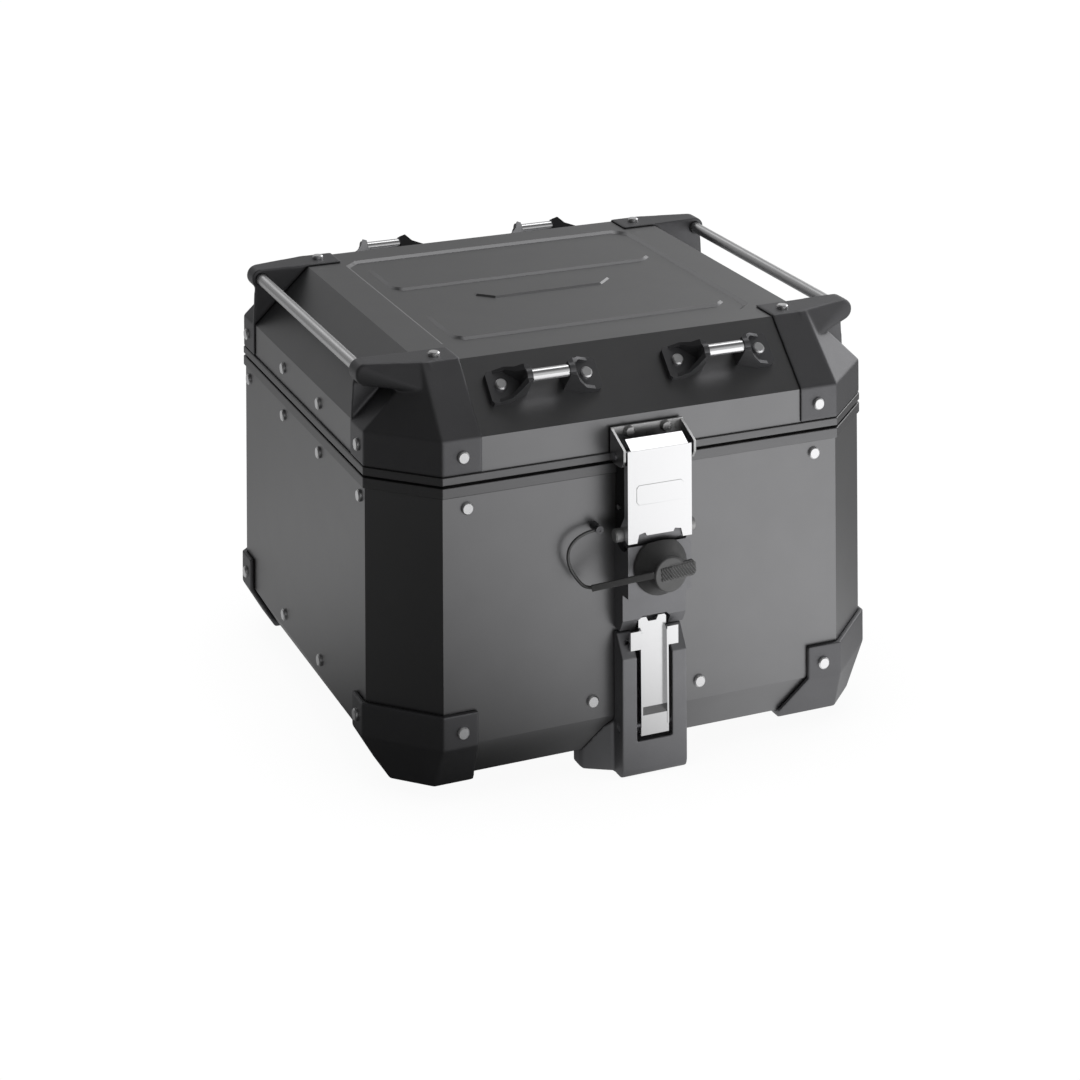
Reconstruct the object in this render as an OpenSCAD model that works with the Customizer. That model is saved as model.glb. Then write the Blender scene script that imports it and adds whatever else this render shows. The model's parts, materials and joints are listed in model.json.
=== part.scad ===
// Motorcycle top case: folded aluminium box with hinged lid, moulded corner pieces, tie-down rails,
// a drawn-down front latch with key lock, and a release lever for the carrier.
// Frame: +Z up, -Y is the latch side. The origin is the middle of the carrier plate's underside, which
// is the plane the case stands on. Heights below are from the corner shoes, and stand() adds the rest.

/* [Case] */
// Outer width of the box, side to side
case_w = 455; // [452:1:460]
// Outer depth of the box, latch side to hinge side
case_d = 438.4; // [436:0.2:442]
// Leg of the 45 degree cut on each vertical corner
corner_cut = 49; // [46:1:52]
// Thickness of the folded aluminium sheet
sheet_t = 1.5; // [1.2:0.1:1.8]
// Height of the joint between base and lid
seam_z = 244.5; // [244:0.5:246]
// Black gap left between the two trim rails
seam_gap = 2; // [1.8:0.1:2.2]
// How far the carrier plate and release housing reach below the corner shoes
stand_h = 11; // [9:0.5:12]

/* [Lid] */
// Height of the fold between lid band and lid slope
lid_fold_z = 280; // [278:1:282]
// Height of the flat lid top
lid_top_z = 328; // [326:1:330]
// Inward run of the lid slope
lid_slope_run = 50.6; // [49:0.2:52]
// Depth of the pressed field on the lid top
press_depth = 2; // [1:0.5:2.5]
// Height of the moulded corner pieces above the sheet
cap_t = 1.8; // [1.5:0.1:2.2]

/* [Rails and tie-downs] */
// Radius of the two side rail tubes
tube_r = 5; // [4:0.5:6]
// Distance of each rail tube from the middle plane
tube_x = 221.4; // [219:0.2:223]
// Height of the rail tube axes
tube_z = 321.5; // [320:0.5:323]
// Distance of each tie-down from the middle plane
tie_x = 80; // [78:1:84]
// Distance between the two bolts of one tie-down
tie_bolt_pitch = 76; // [74:1:80]

/* [Latch] */
// Half width of the latch lever
lever_hw = 28.8; // [28.2:0.2:29]
// Height of the latch lever pivot
lever_pin_z = 189.4; // [189:0.2:190]
// Height of the key lock axis
lock_z = 164; // [163:0.5:164.5]
// Radius of the lock cap at its base
cap_r = 23.5; // [21:0.5:23.5]

/* [Fasteners] */
// Head radius of rivets and dome bolts
head_r = 5; // [4:0.5:5.5]
// Head height of rivets and dome bolts
head_h = 2.6; // [2:0.2:3]

/* [Hidden] */
$fn = 48;

// Outline of the box seen from above
half_w = case_w/2;
half_d = case_d/2;
half_diag = (half_w + half_d - corner_cut)/sqrt(2);
big = 700;
air = 0.03;

// Base heights: corner shoes at zero, shell underside above them
base_under_z = 6;
base_fold_z = 35.5;
base_in_x = 18.5;
base_in_y = 13.7;
base_in_diag = 8;
base_foot_z = 4;
foot_run = (base_under_z - base_foot_z)/(base_fold_z - base_under_z);

// Trim rails
rail_proud = 2;
rail_in = 5;
rail_web = 2;
base_rail_top = seam_z - seam_gap/2;
base_rail_bottom = base_rail_top - 8.7;
lid_rail_bottom = seam_z + seam_gap/2;
lid_rail_top = lid_rail_bottom + 6.5;
lid_in_diag = half_diag - (half_w + half_d - 2*lid_slope_run)/sqrt(2);
slope_angle = atan2(lid_top_z - lid_fold_z, lid_slope_run);

// Lid top pressing
field_x = 144;
field_y = 139;
field_cut = 13;
panel_x = 129;
panel_y = [36, 119];
panel_cut = 10;
press_bevel = 3.5;
field_z = lid_top_z - press_depth;

// Corner regions
cap_x = 144.3;
cap_y = 138.3;
protector_x = 149.5;
protector_y = 146;
protector_top = 62;
protector_t = 4;

// Fastener rows
base_row_z = 224.7;
lid_row_z = 266.5;
low_row_z = 48;
protector_row_z = 47.2;
face_x = 157.6;
cap_face_x = 161.4;
protector_face_x = 163.6;
side_y = [158.2, 51];
low_front_x = 48.5;
low_front_z = 50.5;
corner_bolt_x = 162;
corner_bolt_y = 155.7;
shank_r = 2.4;

// Latch
lever_pin_y = -235.3;
lever_pin_r = 3;
lever_boss_r = 5.5;
lever_front = -247.8;
lever_t = 1.2;
lever_top = 260.5;
lever_bottom = 185.1;
lever_open = 50;
drum_r = 11.2;
sweep_r = 13.35;
block_hw = 28.5;
block_front = -246.8;
block_low_front = -235.8;
block_top = 184.7;
block_step_z = 140.4;
block_bottom = 113.4;
wall_y = -half_d - air;
frame_wall = [25.5, 27.1];
bracket_hw = 32.6;
bracket_t = 2;
crossbar_y = -231;
crossbar_z = 252;
crossbar_r = 2.5;

// Lock and cap
lock_r = 8;
collar_r = 14;
cap_top_r = 13.8;
tab_rise = 1.6;
tab_tilt = 4;
cap_front = -268;
cap_travel_gap = 0.25;
strap_start = [-14, -266, lock_z + 1.5];
strap_yaw = 31;
strap_drop = 15;
strap_len = 53;

// Tether loop beside the lock and the button that holds it
tether_x = -53;
tether_y = -228.2;
tether_z = lock_z + 5.5;
tether_r = 20.3;
tether_from = 72;
anchor_x = -46.5;
anchor_z = 194;

// Release unit
rel_front = -236;
rel_top = 86.9;
slot_hw = 15.9;
slot_bottom = 18.3;
rel_pin_y = -228;
rel_pin_z = 28;
rel_pin_r = 2.5;
rel_body_hw = 12.5;
bolt_w = 18;
bolt_z = [-5, -1.2];
rel_hw = 29.3;
rel_bottom = -stand_h;

// Hinge
hinge_y = half_d + 6.8;
hinge_x = 115;
knuckle_r = 4.5;
hinge_pin_r = 2.5;
leaf_hw = 25;
leaf_t = 2;
knuckle_hw = 8;

/* ---------- outline helpers ---------- */

// Corner points of the eight-sided outline, grown by o on every face
function octagon(o) =
    let (a = half_w + o, b = half_d + o, d = (half_diag + o)*sqrt(2), px = d - b, py = d - a)
    [[a, -py], [a, py], [px, b], [-px, b], [-a, py], [-a, -py], [-px, -b], [px, -b]];

// Wall with one inward fold, seen in section. h: wall distance, run: inward run to the end plane,
// s: 1 folds upward and -1 downward, t: how far every face moves inward
module fold_section(h, run, open_z, fold_z, end_z, s, t) {
    rise = abs(end_z - fold_z);
    len = norm([rise, run]);
    nx = rise/len;
    nz = run/len;
    fold_at = fold_z - s*t*(1 - nx)/nz;
    end_x = h - run + t*(nz - 1)/nx;
    polygon([[-(h - t), open_z], [h - t, open_z], [h - t, fold_at], [end_x, end_z - s*t],
        [-end_x, end_z - s*t], [-(h - t), fold_at]]);
}

// Turns a section so that its width points along the plan direction a and its height up
module upright(a) {
    rotate([90, 0, a]) linear_extrude(big, center = true) children();
}

// Eight-sided solid folded inward at one end: runs are [x, y, diagonal]. The corner faces fold
// a hair later than the walls, so that no four planes meet in one point
module folded_solid(runs, open_z, fold_z, end_z, s, t) {
    late = fold_z + 0.1*s;
    intersection() {
        upright(0) fold_section(half_w, runs[0], open_z, fold_z, end_z, s, t);
        upright(90) fold_section(half_d, runs[1], open_z, fold_z, end_z, s, t);
        upright(45) fold_section(half_diag, runs[2], open_z, late, end_z, s, t);
        upright(-45) fold_section(half_diag, runs[2], open_z, late, end_z, s, t);
    }
}

module lid_solid(t, open_z) {
    folded_solid([lid_slope_run, lid_slope_run, lid_in_diag], open_z, lid_fold_z, lid_top_z, 1, t);
}

module base_solid(t, open_z) {
    folded_solid([base_in_x, base_in_y, base_in_diag], open_z, base_fold_z, base_under_z, -1, t);
}

// Base outline continued down to the plane of the corner shoes, used for the corner protectors
module foot_solid(t, open_z) {
    folded_solid([for (r = [base_in_x, base_in_y, base_in_diag]) r*(1 + foot_run)],
        open_z, base_fold_z, base_foot_z, -1, t);
}

// Trapezoid section for a pressed block: wide at z0 and narrower by bevel at z1
module press_section(h, z0, z1, bevel) {
    polygon([[-h, z0], [h, z0], [h - bevel, z1], [-(h - bevel), z1]]);
}

// Pressed block with four cut corners and sloping sides
module pressed_block(hx, hy, cut, z0, z1, bevel) {
    hd = (hx + hy - cut)/sqrt(2);
    intersection() {
        upright(0) press_section(hx, z0, z1, bevel);
        upright(90) press_section(hy, z0, z1, bevel);
        upright(45) press_section(hd, z0, z1, bevel);
        upright(-45) press_section(hd, z0, z1, bevel);
    }
}

// Places a child in the corner quadrant with signs sx and sy
module at_corner(sx, sy) {
    if (sx < 0 && sy < 0) rotate([0, 0, 180]) children();
    else if (sx < 0) mirror([1, 0, 0]) children();
    else if (sy < 0) mirror([0, 1, 0]) children();
    else children();
}

// Straight extrusion along X from x0 to x1 of a section drawn in (y, z)
module along_x(x0, x1) {
    translate([x0, 0, 0]) rotate([90, 0, 90]) linear_extrude(x1 - x0) children();
}

// Straight extrusion along Y from y0 to y1 of a section drawn in (x, z)
module along_y(y0, y1) {
    translate([0, y1, 0]) rotate([90, 0, 0]) linear_extrude(y1 - y0) children();
}

// Cylinder along X or along Y between two stations
module bar_x(x0, x1, y, z, r) {
    translate([x0, y, z]) rotate([0, 90, 0]) cylinder(h = x1 - x0, r = r);
}

module bar_y(y0, y1, x, z, r) {
    translate([x, y1, z]) rotate([90, 0, 0]) cylinder(h = y1 - y0, r = r);
}

/* ---------- fasteners ---------- */

// Flat dome head with its shank below, standing on z = 0
module stud(shank, r = head_r, h = head_h) {
    edge = h*0.35;
    rotate_extrude()
        polygon([[0, -shank], [shank_r, -shank], [shank_r, 0.02], [r, 0.02], [r, h - edge],
            [r - edge, h], [0, h]]);
}

// Stands a stud on the front or rear face (sy) at x, z; off is the height of the face it sits on
module on_front(x, z, sy, off) {
    translate([x, sy*(half_d + off), z]) rotate([-90*sy, 0, 0]) children();
}

module on_side(y, z, sx, off) {
    translate([sx*(half_w + off), y, z]) rotate([0, 90*sx, 0]) children();
}

// Every rivet place of the base sheet
module base_rivet_places() {
    for (sy = [-1, 1], sx = [-1, 1]) on_front(sx*face_x, base_row_z, sy, 0) children();
    for (sx = [-1, 1], sy = [-1, 1], y = side_y) on_side(sy*y, base_row_z, sx, 0) children();
    for (sy = [-1, 1], sx = [-1, 1]) on_front(sx*low_front_x, low_front_z, sy, 0) children();
    for (sx = [-1, 1], sy = [-1, 1]) on_side(sy*side_y[1], low_row_z, sx, 0) children();
}

module protector_rivet_places(off) {
    for (sx = [-1, 1], sy = [-1, 1]) {
        on_front(sx*protector_face_x, protector_row_z, sy, off) children();
        on_side(sy*side_y[0], protector_row_z, sx, off) children();
    }
}

module lid_rivet_places(off_cap, off_sheet) {
    for (sx = [-1, 1], sy = [-1, 1]) {
        on_front(sx*cap_face_x, lid_row_z, sy, off_cap) children();
        on_side(sy*side_y[0], lid_row_z, sx, off_cap) children();
        on_side(sy*side_y[1], lid_row_z, sx, off_sheet) children();
    }
}

module corner_bolt_places() {
    for (sx = [-1, 1], sy = [-1, 1]) translate([sx*corner_bolt_x, sy*corner_bolt_y, 0]) children();
}

module shank_hole(depth = 12) {
    translate([0, 0, -depth]) cylinder(h = 2*depth, r = shank_r + 0.1);
}

/* ---------- base ---------- */

module base_shell() color("#3a3b3d") difference() {
    base_solid(0, base_rail_top - rail_web - 0.1);
    base_solid(sheet_t, base_rail_top + 20);
    base_rivet_places() shank_hole();
    protector_rivet_places(0) shank_hole();
    housing_screw_places() shank_hole();
    hinge_rivet_places(-1) shank_hole();
    carrier_screw_places() translate([0, 0, base_under_z]) shank_hole(5);
}

module trim_rail(z0, z1, slot_z0, slot_z1) difference() {
    translate([0, 0, z0]) linear_extrude(z1 - z0) polygon(octagon(rail_proud));
    translate([0, 0, z0 - 1]) linear_extrude(z1 - z0 + 2) polygon(octagon(-rail_in));
    translate([0, 0, slot_z0]) linear_extrude(slot_z1 - slot_z0) difference() {
        polygon(octagon(air));
        polygon(octagon(-sheet_t - air));
    }
}

module base_trim_rail() color("#2b2b2d") difference() {
    trim_rail(base_rail_bottom, base_rail_top, base_rail_bottom - 1, base_rail_top - rail_web);
    base_rivet_places() shank_hole(6);
}

module floor_mat() color("#1c1c1d") difference() {
    base_solid(sheet_t + 0.6, base_under_z + sheet_t + 4);
    carrier_screw_places() cylinder(h = 12, r = 5.5);
}

// Plate under the floor that sits on the carrier; two pockets take the carrier's front hooks
plate_x = 118;
plate_y = [-110, 168];
plate_top = base_under_z - 0.1;
plate_wall = 4;
hook_slot_x = 62;
hook_slot_hw = 22;
hook_slot_y = [128, 146];

module carrier_screw_places() {
    for (x = [-95, 95], y = [-85, 95]) translate([x, y, 0]) children();
}

// Block between two corners given as [x, y], from z0 to z1
module slab(from, to, z0, z1) {
    translate([from[0], from[1], z0]) cube([to[0] - from[0], to[1] - from[1], z1 - z0]);
}

module carrier_plate() color("#222224") difference() {
    linear_extrude(stand_h + plate_top) polygon([[-plate_x, plate_y[0] + 20],
        [-plate_x + 20, plate_y[0]], [plate_x - 20, plate_y[0]], [plate_x, plate_y[0] + 20],
        [plate_x, plate_y[1] - 12], [plate_x - 12, plate_y[1]], [-plate_x + 12, plate_y[1]],
        [-plate_x, plate_y[1] - 12]]);
    // hollow top, which leaves ribs, screw bosses and the walls of the hook pockets
    difference() {
        slab([-plate_x + 24, plate_y[0] + 24], [plate_x - 24, hook_slot_y[0] - 8], plate_wall, 40);
        for (x = [-47, 0, 47]) slab([x - 2, -200], [x + 2, 200], 0, 40);
        for (y = [-30, 45]) slab([-200, y - 2], [200, y + 2], 0, 40);
        carrier_screw_places() cylinder(h = 40, r = 10);
    }
    for (sx = [-1, 1]) translate([sx*hook_slot_x, 0, 0])
        slab([-hook_slot_hw, hook_slot_y[0]], [hook_slot_hw, hook_slot_y[1]], -1, 40);
    carrier_screw_places() {
        cylinder(h = 40, r = shank_r + 0.1);
        translate([0, 0, -1]) cylinder(h = 12.4, r = head_r + 0.3);
    }
    // grooves across the underside
    for (x = [-85, 85]) slab([x - 3, plate_y[0] + 30], [x + 3, plate_y[1] - 70], -1, 1.2);
}

module carrier_plate_screws() color("#b9bcc0")
    carrier_screw_places() {
        translate([0, 0, 11.3]) mirror([0, 0, 1]) stud(0, head_r, 1.6);
        translate([0, 0, 11.3]) cylinder(h = 10, r = shank_r);
    }

// Moulded shoe over one bottom corner; toe is where its edge ends at the underside
module corner_protector(sx, sy, toe_x) color("#1f1f20") difference() {
    at_corner(sx, sy) difference() {
        intersection() {
            foot_solid(-protector_t, protector_top);
            along_y(100, 260) polygon([[protector_x, protector_top], [protector_x, base_fold_z],
                [toe_x, base_under_z], [toe_x, -1], [260, -1], [260, protector_top]]);
            along_x(100, 260) polygon([[protector_y, protector_top], [protector_y, base_fold_z],
                [protector_y - 8, base_under_z], [protector_y - 8, -1], [260, -1],
                [260, protector_top]]);
        }
        base_solid(-air, big);
    }
    protector_rivet_places(0) shank_hole(6);
}

module corner_protector_fl() corner_protector(-1, -1, protector_x - 1);
module corner_protector_fr() corner_protector(1, -1, 128);
module corner_protector_rl() corner_protector(-1, 1, 128);
module corner_protector_rr() corner_protector(1, 1, protector_x - 1);

module base_rivets() color("#c9cbce") base_rivet_places() stud(3.5);

module protector_rivets() color("#c9cbce") protector_rivet_places(protector_t) stud(7.5);

/* ---------- hinges ---------- */

module hinge_rivet_places(s) {
    dz = s < 0 ? [-34, -20] : [14.5, 27.5];
    for (hx = [-1, 1], x = [-16, 16], z = dz)
        on_front(hx*hinge_x + x, seam_z + z, 1, 0) children();
}

// Leaf with a joggle over the trim rail; s is 1 for the lid leaf and -1 for the base leaf
module leaf(s) {
    y0 = half_d + air;
    y1 = y0 + leaf_t;
    y2 = half_d + rail_proud + 0.2;
    y3 = y2 + leaf_t;
    rail_z = s > 0 ? lid_rail_top - seam_z : seam_z - base_rail_bottom;
    end_z = s > 0 ? 33 : 42;
    flat_z = rail_z + 0.3;
    section = [[y0, end_z], [y1, end_z], [y1, flat_z + 2], [y3, flat_z], [y3, 1.5], [y2, 1.5],
        [y2, flat_z - 0.3], [y0, flat_z + 0.3]];
    wide_z = 5.5;
    for (hx = [-1, 1]) translate([hx*hinge_x, 0, seam_z]) difference() {
        union() {
            along_x(-leaf_hw, leaf_hw) polygon([for (p = section) [p[0], s*p[1]]]);
            for (x = s > 0 ? [[-knuckle_hw, knuckle_hw]]
                : [[-leaf_hw, -knuckle_hw - 0.2], [knuckle_hw + 0.2, leaf_hw]])
                bar_x(x[0], x[1], hinge_y, 0, knuckle_r);
        }
        for (x = s > 0 ? [[-leaf_hw - 1, -knuckle_hw], [knuckle_hw, leaf_hw + 1]]
            : [[-knuckle_hw - 0.2, knuckle_hw + 0.2]])
            translate([x[0], half_d - 1, s > 0 ? -1 : -wide_z]) cube([x[1] - x[0], 20, wide_z + 1]);
        bar_x(-leaf_hw - 1, leaf_hw + 1, hinge_y, 0, hinge_pin_r + 0.05);
    }
}

module hinge_base_leaves() color("#2a2a2c") difference() {
    leaf(-1);
    hinge_rivet_places(-1) shank_hole(6);
}

module hinge_lid_leaves() color("#2a2a2c") difference() {
    leaf(1);
    hinge_rivet_places(1) shank_hole(6);
}

module hinge_pins() color("#b9bcc0") for (hx = [-1, 1]) {
    bar_x(hx*hinge_x - leaf_hw - 1, hx*hinge_x + leaf_hw + 1, hinge_y, seam_z, hinge_pin_r);
    for (s = [-1, 1]) bar_x(hx*hinge_x + s*(leaf_hw + 1.05) - 1, hx*hinge_x + s*(leaf_hw + 1.05) + 1,
        hinge_y, seam_z, hinge_pin_r + 1);
}

module hinge_base_rivets() color("#c9cbce")
    hinge_rivet_places(-1) translate([0, 0, leaf_t + air]) stud(5.5, 4, 1.8);

module hinge_lid_rivets() color("#c9cbce")
    hinge_rivet_places(1) translate([0, 0, leaf_t + air]) stud(5.5, 4, 1.8);

/* ---------- latch and lock on the base ---------- */

module pin_bore(r) bar_x(-60, 60, lever_pin_y, lever_pin_z, r);

module housing_screw_places() {
    for (x = [-20, 20], z = [125, 176]) on_front(x, z, -1, 0) children();
    for (x = [-22, 22], z = [60, 96]) on_front(x, z, -1, 0) children();
}

// Black channel behind the lever: two side walls joined across the back
module latch_frame() color("#1d1d1f") difference() {
    union() {
        for (s = [0, 1]) mirror([s, 0, 0]) along_x(frame_wall[0], frame_wall[1])
            polygon([[wall_y, 185.5], [-239.6, 185.5], [-239.6, 240.5], [-236, 243], [-221.6, 243],
                [-221.6, 234.4], [wall_y, 234.4]]);
        along_x(-frame_wall[1], frame_wall[1])
            polygon([[wall_y, 201.5], [wall_y - 2, 201.5], [wall_y - 2, 234.2], [wall_y, 234.2]]);
    }
    pin_bore(lever_pin_r + 0.05);
    bar_x(-40, 40, -227.5, 209, 2.05);
}

module latch_frame_pins() color("#55565a") bar_x(-28.6, 28.6, -227.5, 209, 2);

// Moulded body around the lock; its rounded drum carries the latch pivot
module lock_housing() color("#1f1f21") difference() {
    union() {
        difference() {
            along_x(-block_hw, block_hw)
                polygon([[wall_y, block_top], [block_front, block_top], [block_front, block_step_z],
                    [block_low_front, block_step_z - 0.6], [block_low_front, block_bottom + 5],
                    [block_low_front + 3, block_bottom], [-229, 108], [wall_y, 108]]);
            bar_x(-60, 60, lever_pin_y, lever_pin_z, sweep_r);
            lever_sweep();
        }
        bar_x(-frame_wall[0] + 0.2, frame_wall[0] - 0.2, lever_pin_y, lever_pin_z, drum_r);
        along_x(-frame_wall[0] + 0.2, frame_wall[0] - 0.2)
            polygon([[wall_y, 172], [-230, 172], [lever_pin_y, 184], [lever_pin_y, 200], [wall_y, 200]]);
        bar_y(block_front - 6, block_front + 1, 0, lock_z, collar_r);
    }
    pin_bore(lever_pin_r);
    bar_y(-300, wall_y + 1, 0, lock_z, lock_r + 0.05);
    bar_y(-224.5, wall_y + 1, 0, lock_z, 13);
    // arch that clears the head of the release lever
    along_y(-240, -225) polygon([[-15, 100], [15, 100], [15, 116], [11, 120], [-11, 120], [-15, 116]]);
    housing_screw_places() translate([0, 0, -1]) cylinder(h = 11, r = shank_r);
}

module latch_pivot_pin() color("#d5d7da") {
    bar_x(-30, 30, lever_pin_y, lever_pin_z, lever_pin_r);
    for (s = [0, 1]) mirror([s, 0, 0]) {
        bar_x(lever_hw + 0.15, 35, lever_pin_y, lever_pin_z, lever_boss_r);
        bar_x(35, 35.8, lever_pin_y, lever_pin_z, lever_boss_r - 0.8);
    }
}

module housing_screws() color("#8b8d90")
    housing_screw_places() translate([0, 0, -sheet_t - 0.1]) mirror([0, 0, 1]) union() {
        stud(0, 4.5, 2);
        mirror([0, 0, 1]) cylinder(h = 9, r = shank_r);
    }

/* ---------- release unit on the base ---------- */

module release_housing() color("#1f1f21") difference() {
    union() {
        along_x(-rel_hw, rel_hw)
            polygon([[wall_y, 105], [-224, 105], [rel_front, rel_top], [rel_front, rel_bottom + 6.5],
                [rel_front + 1, rel_bottom + 3], [rel_front + 3, rel_bottom + 0.9],
                [rel_front + 6, rel_bottom], [-192, rel_bottom], [-192, plate_top],
                [-half_d + base_in_y - air, plate_top], [wall_y, base_fold_z]]);
        // foot on one side, which follows the folded underside
        intersection() {
            translate([0, 0, -40]) linear_extrude(100) polygon([[-28, -188], [-50, -188], [-54, -192],
                [-54, -204], [-52, -206.5], [-31, -219], [-28, -219]]);
            along_y(-225, -180) polygon([[-28, 31], [-31, 30], [-54.5, 15], [-54.5, rel_bottom + 5],
                [-53.5, rel_bottom + 2.5], [-51, rel_bottom + 1], [-28, rel_bottom + 1]]);
        }
    }
    base_solid(-air, big);
    // lever slot, open at the top, with its arch and the pin bore
    along_x(-slot_hw, slot_hw)
        polygon([[-240, slot_bottom], [-221.3, slot_bottom], [-221.3, 106], [-240, 106]]);
    bar_x(-rel_hw - 1, rel_hw + 1, rel_pin_y, rel_pin_z, rel_pin_r);
    // guide of the carrier bolt
    translate([-bolt_w/2 - 0.1, -231, bolt_z[0] - 0.1])
        cube([bolt_w + 0.2, 60, bolt_z[1] - bolt_z[0] + 0.2]);
    housing_screw_places() translate([0, 0, -1]) cylinder(h = 11, r = shank_r);
}

module release_pivot_pin() color("#b9bcc0")
    bar_x(-rel_hw + 0.5, rel_hw - 0.5, rel_pin_y, rel_pin_z, rel_pin_r);

module release_spring() color("#b0b2b5")
    for (s = [-1, 1], i = [0 : 1]) translate([s*(5 + 2.2*i), rel_pin_y, rel_pin_z])
        rotate([0, 90, 0]) rotate_extrude() translate([rel_pin_r + 1.2, 0]) circle(0.9);

module release_lever() color("#dcdee0") difference() {
    union() {
        // web, side flanges, head and the two finger wings
        along_y(-231.5, -230) polygon([[-rel_body_hw, 34], [rel_body_hw, 34], [rel_body_hw, 115.5],
            [rel_body_hw - 1.5, 117], [5.5, 117], [3.6, 113.2], [-3.6, 113.2], [-5.5, 117],
            [-rel_body_hw + 1.5, 117], [-rel_body_hw, 115.5]]);
        for (s = [0, 1]) mirror([s, 0, 0]) {
            along_x(rel_body_hw - 1.5, rel_body_hw)
                polygon([[-230, 110], [-236, 106], [-236.5, 30], [-234, 22.2], [-225, 22.2],
                    [-223.4, 27], [-224.5, 33], [-230, 38]]);
            along_y(-236, -234.4) polygon([[rel_body_hw - 1, 93], [21.5, 93], [21.5, 108],
                [rel_body_hw - 1, 108]]);
            along_x(20, 21.5) polygon([[-236, 93.5], [-232.6, 95], [-232.6, 106], [-236, 107.5]]);
        }
        // folded lip across the bottom
        along_x(-rel_body_hw, rel_body_hw)
            polygon([[-236, 22.2], [-234.6, 22.2], [-234.6, 38], [-231, 42], [-231.4, 43.4], [-236, 38.6]]);
    }
    bar_x(-60, 60, rel_pin_y, rel_pin_z, rel_pin_r + 0.05);
}

module carrier_bolt() color("#c4c6c9") difference() {
    translate([-bolt_w/2, -218, bolt_z[0]]) cube([bolt_w, 34, bolt_z[1] - bolt_z[0]]);
    translate([-bolt_w/2 - 1, -184, bolt_z[0]]) rotate([40, 0, 0])
        translate([0, -1, -8]) cube([bolt_w + 2, 8, 8]);
}

/* ---------- lid ---------- */

module lid_shell() color("#343537") difference() {
    union() {
        difference() {
            lid_solid(0, lid_rail_bottom + rail_web + 0.1);
            pressed_block(field_x, field_y, field_cut, lid_top_z + 0.01, field_z, press_bevel);
        }
        for (s = [-1, 1]) translate([0, s*(panel_y[0] + panel_y[1])/2, 0])
            pressed_block(panel_x, (panel_y[1] - panel_y[0])/2, panel_cut, field_z - 0.5,
                lid_top_z - 0.2, press_bevel);
        pressed_block(66, 17, 14, field_z - 0.5, lid_top_z - 0.6, 2.5);
    }
    difference() {
        lid_solid(sheet_t, seam_z - 20);
        translate([-200, -200, field_z - sheet_t]) cube([400, 400, 20]);
    }
    lid_rivet_places(0, 0) shank_hole();
    hinge_rivet_places(1) shank_hole();
    corner_bolt_places() translate([0, 0, lid_top_z - 6]) cylinder(h = 12, r = shank_r + 0.1);
    tie_bolt_places() shank_hole(6);
    latch_bracket_rivet_places() shank_hole();
}

module lid_trim_rail() color("#2b2b2d")
    trim_rail(lid_rail_bottom, lid_rail_top, lid_rail_bottom + rail_web, lid_rail_top + 1);

module lid_seal() color("#111112") translate([0, 0, base_rail_top + 0.1]) linear_extrude(6)
    difference() {
        polygon(octagon(-rail_in - 0.1));
        polygon(octagon(-rail_in - 6));
    }

// Moulded corner with a horn that carries the rail tube and a web under the horn
horn_root_x = 171;
horn_tip_r = 9;
horn_y = [cap_y, 157];
web_t = 4;

module lid_corner(sx, sy) color("#232324") difference() {
    at_corner(sx, sy) difference() {
        union() {
            intersection() {
                lid_solid(-cap_t, lid_rail_top + 0.15);
                translate([cap_x, cap_y, 0]) cube([200, 200, 400]);
            }
            hull() {
                along_x(horn_root_x, horn_root_x + 1) polygon([[horn_y[0], 312],
                    [horn_y[0], lid_top_z + cap_t], [half_d - lid_slope_run + 1.5, lid_top_z + cap_t],
                    [half_d - lid_slope_run + 21, lid_top_z - 19]]);
                bar_y(horn_y[0], horn_y[1], tube_x, tube_z, horn_tip_r);
            }
            along_y(cap_y, cap_y + web_t)
                polygon([[half_w - lid_slope_run - 4, lid_top_z - 2], [half_w + cap_t, lid_fold_z - 2],
                    [half_w + cap_t, lid_fold_z + 4], [tube_x + 6, 314], [tube_x, 320]]);
        }
        lid_solid(-air, 100);
    }
    for (s = [-1, 1]) bar_y(-cap_y - 12.2, cap_y + 12.2, s*tube_x, tube_z, tube_r + 0.05);
    lid_rivet_places(0, 0) shank_hole(6);
    corner_bolt_places() translate([0, 0, lid_top_z - 6]) cylinder(h = 12, r = shank_r + 0.1);
}

module lid_corner_fl() lid_corner(-1, -1);
module lid_corner_fr() lid_corner(1, -1);
module lid_corner_rl() lid_corner(-1, 1);
module lid_corner_rr() lid_corner(1, 1);

module lid_rivets() color("#c9cbce") lid_rivet_places(cap_t, 0) stud(5);

module corner_bolts() color("#c9cbce")
    corner_bolt_places() translate([0, 0, lid_top_z + cap_t]) stud(8, head_r, 3);

module rail_tube(s) color("#d9dbdd") difference() {
    bar_y(-cap_y - 12, cap_y + 12, s*tube_x, tube_z, tube_r);
    bar_y(-cap_y - 13, cap_y + 13, s*tube_x, tube_z, tube_r - 1.2);
}

module rail_tube_left() rail_tube(-1);
module rail_tube_right() rail_tube(1);

/* ---------- tie-downs on the front and rear slopes ---------- */

tie_z = 307;
tie_plate_t = 5;
tie_bar_h = 20;
tie_bar_r = 5;
tie_bar_drop = -3;
tie_collar_x = 16.5;
tie_collar_t = 5;

// Local frame on a slope: x along the case, y up the slope, z square off the sheet
module on_slope(sy, x, z) {
    run_here = (z - lid_fold_z)/tan(slope_angle);
    translate([x, sy*(half_d - run_here), z])
        rotate([0, 0, sy < 0 ? 0 : 180]) rotate([slope_angle, 0, 0]) children();
}

module tie_places() {
    for (sy = [-1, 1], x = [-tie_x, tie_x]) on_slope(sy, x, tie_z) children();
}

module tie_bolt_places() {
    tie_places() for (s = [-1, 1]) translate([s*tie_bolt_pitch/2, 0, 0]) children();
}

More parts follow.
